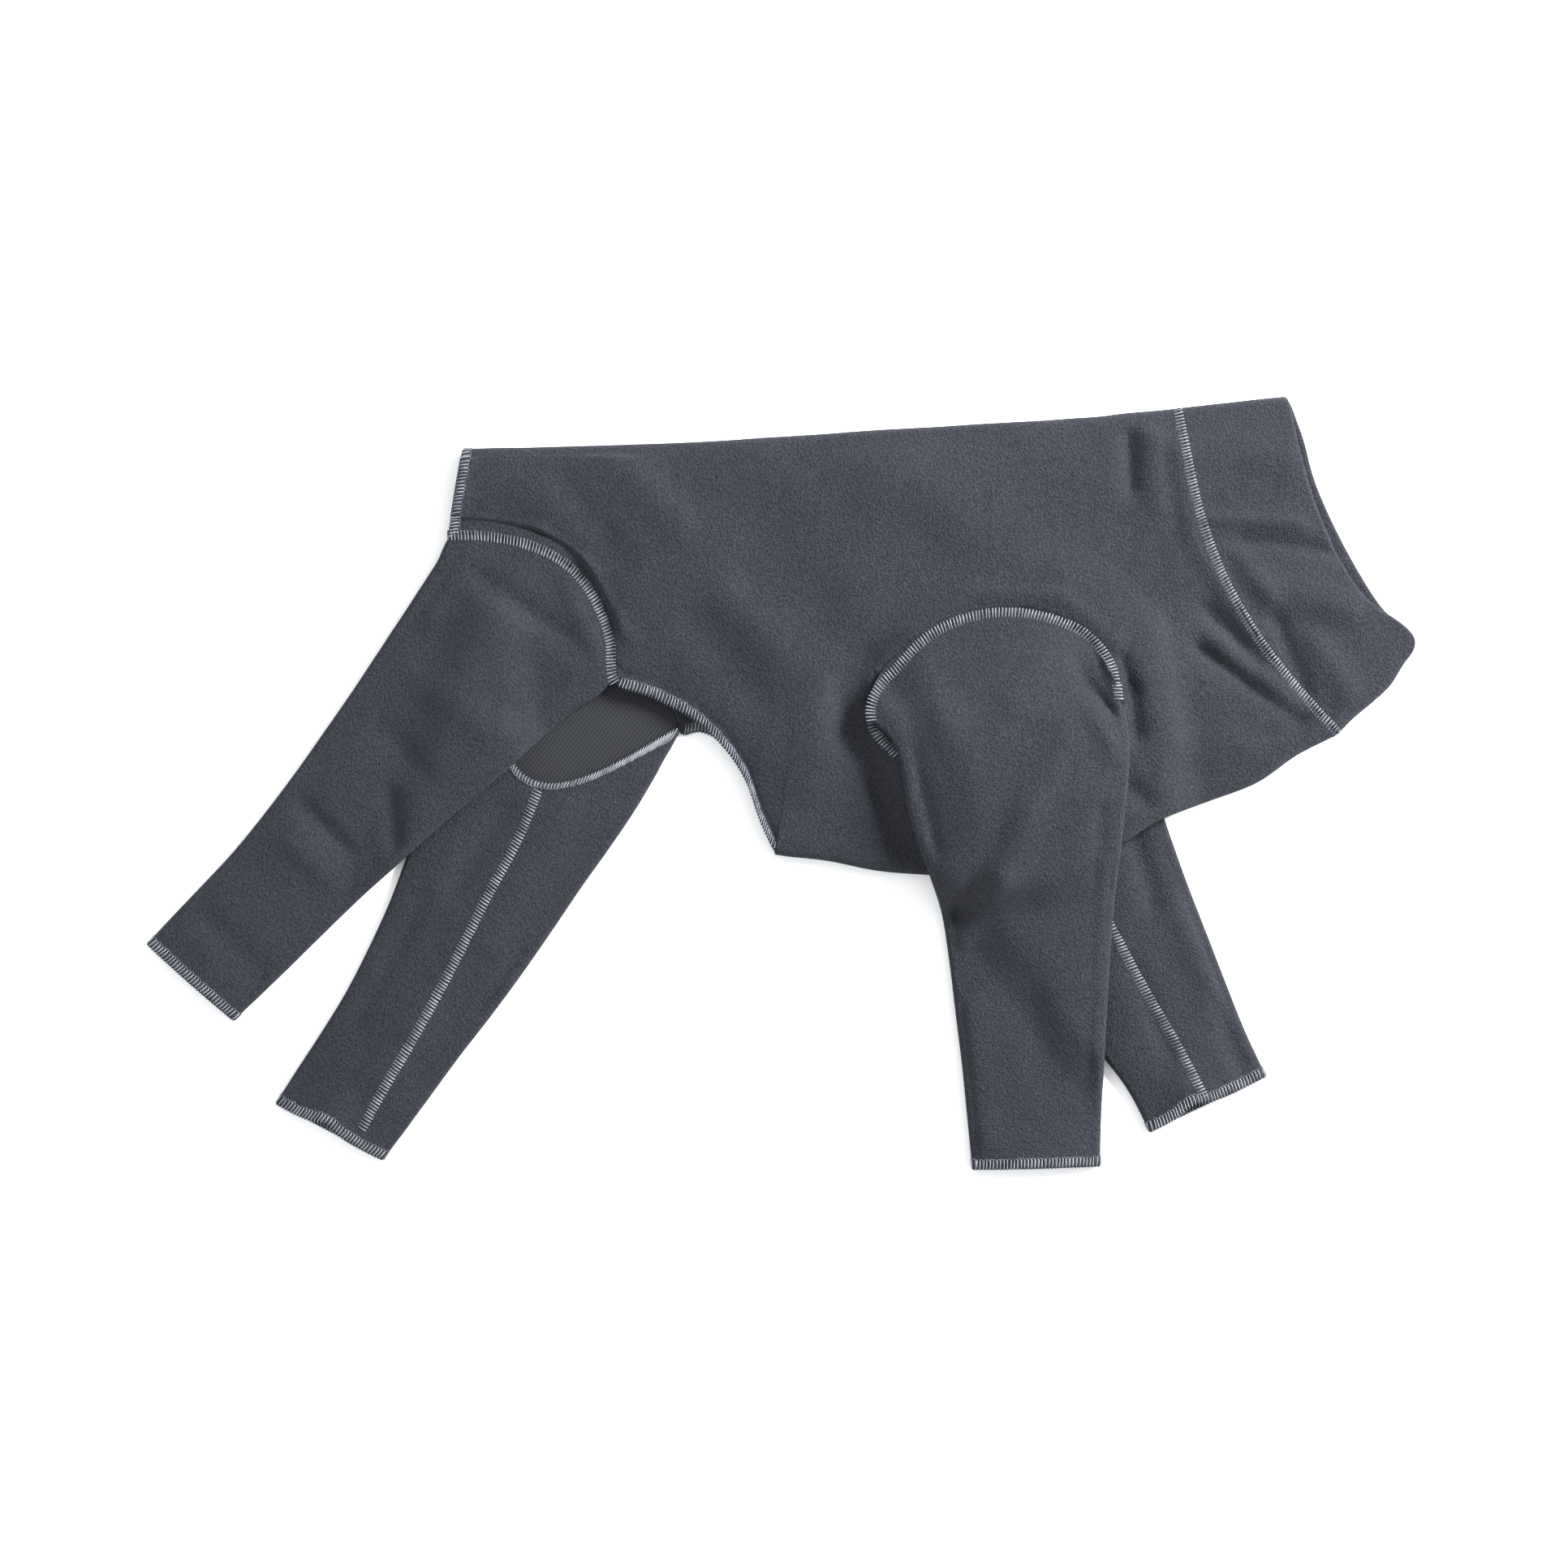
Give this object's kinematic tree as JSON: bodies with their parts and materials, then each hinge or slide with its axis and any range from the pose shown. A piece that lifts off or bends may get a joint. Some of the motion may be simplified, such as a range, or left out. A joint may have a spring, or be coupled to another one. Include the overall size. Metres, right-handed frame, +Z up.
{
  "type": "dog jumpsuit",
  "caption": "Long-legged fleece jumpsuit for a slender dog, laid flat on its side, with a doubled collar, an open belly and pale flatlock seams.",
  "frame": {"origin": "centre of the garment's bounding box, on the surface it lies on", "axes": "+Z up, +X from the tail end to the collar, +Y from the belly to the back fold"},
  "size_m": [0.7826, 0.4783, 0.0437],
  "materials": {
    "torso_fleece": "matte",
    "collar_fleece": "matte",
    "front_leg_right_fleece": "matte",
    "front_leg_left_fleece": "matte",
    "hind_leg_right_fleece": "matte",
    "hind_leg_left_fleece": "matte"
  },
  "bodies": {
    "root": {"torso": "torso_fleece", "collar": "collar_fleece", "front_leg_right": "front_leg_right_fleece", "front_leg_left": "front_leg_left_fleece", "hind_leg_right": "hind_leg_right_fleece", "hind_leg_left": "hind_leg_left_fleece"}
  },
  "joints": []
}
